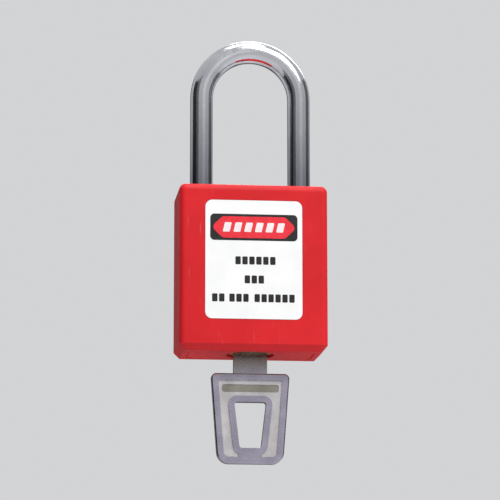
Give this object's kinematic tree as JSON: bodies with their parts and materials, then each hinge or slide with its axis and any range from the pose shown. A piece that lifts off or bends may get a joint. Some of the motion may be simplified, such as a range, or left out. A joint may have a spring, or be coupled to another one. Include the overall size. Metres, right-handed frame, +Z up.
{
  "type": "safety padlock",
  "caption": "Keyed lockout padlock with a plastic body, a tall steel shackle that lifts when the key is turned, and its key in the lock.",
  "frame": {"origin": "middle of the body's underside, on the axis of the lock's plug", "axes": "+Z up along the plug and the shackle's legs, -Y out of the labelled front, +X towards the heel leg"},
  "size_m": [0.039, 0.0196, 0.1136],
  "materials": {
    "body_red": "moulded nylon, satin",
    "label_white": "printed vinyl",
    "shackle_steel": "polished hardened steel",
    "key_nickel": "nickel-plated, lightly worn",
    "plug_brass": "machined",
    "zinc": "zinc die-casting, as cast",
    "spring_steel": "plain"
  },
  "bodies": {
    "body": {"body_shell": "body_red", "bottom_cap": "body_red", "front_label": "label_white", "back_label": "label_white", "shackle_spring": "spring_steel", "cylinder_housing": "zinc", "chamber_cover": "zinc", "housing_screw": "spring_steel", "heel_stop_pin": "spring_steel", "driver_pin_1": "plug_brass", "driver_pin_2": "plug_brass", "driver_pin_3": "plug_brass", "driver_pin_4": "plug_brass", "driver_pin_5": "plug_brass", "driver_pin_6": "plug_brass", "pin_spring_1": "spring_steel", "pin_spring_2": "spring_steel", "pin_spring_3": "spring_steel", "pin_spring_4": "spring_steel", "pin_spring_5": "spring_steel", "pin_spring_6": "spring_steel"},
    "shackle": {"shackle": "shackle_steel"},
    "plug": {"plug": "plug_brass", "plug_clip": "spring_steel", "cam": "zinc", "key_pin_1": "plug_brass", "key_pin_2": "plug_brass", "key_pin_3": "plug_brass", "key_pin_4": "plug_brass", "key_pin_5": "plug_brass", "key_pin_6": "plug_brass"},
    "key": {"key": "key_nickel"},
    "latch_left": {"latch_left": "spring_steel"},
    "latch_right": {"latch_right": "spring_steel"}
  },
  "joints": [
    {"name": "plug_turn", "type": "hinge", "parent": "body", "child": "plug", "pos_m": [0, 0, 0], "axis": [0, 0, 1], "range_deg": [0, 90]},
    {"name": "key_draw", "type": "slide", "parent": "plug", "child": "key", "axis": [0, 0, -1], "range_m": [0, 0.03], "deforming": ["key_pin_1", "key_pin_2", "key_pin_3", "key_pin_4", "key_pin_5", "key_pin_6"]},
    {"name": "latch_left_draw", "type": "slide", "parent": "body", "child": "latch_left", "axis": [1, 0, 0], "range_m": [0, 0.0035]},
    {"name": "latch_right_draw", "type": "slide", "parent": "body", "child": "latch_right", "axis": [-1, 0, 0], "range_m": [0, 0.0035]},
    {"name": "shackle_lift", "type": "slide", "parent": "body", "child": "shackle", "axis": [0, 0, 1], "range_m": [0, 0.0095], "deforming": ["shackle_spring"]}
  ],
  "couplings": [
    {"joint": "plug_turn", "follows": "shackle_lift", "rad_per_m": 165.34},
    {"joint": "latch_left_draw", "follows": "shackle_lift", "ratio": 0.3684},
    {"joint": "latch_right_draw", "follows": "shackle_lift", "ratio": 0.3684}
  ]
}
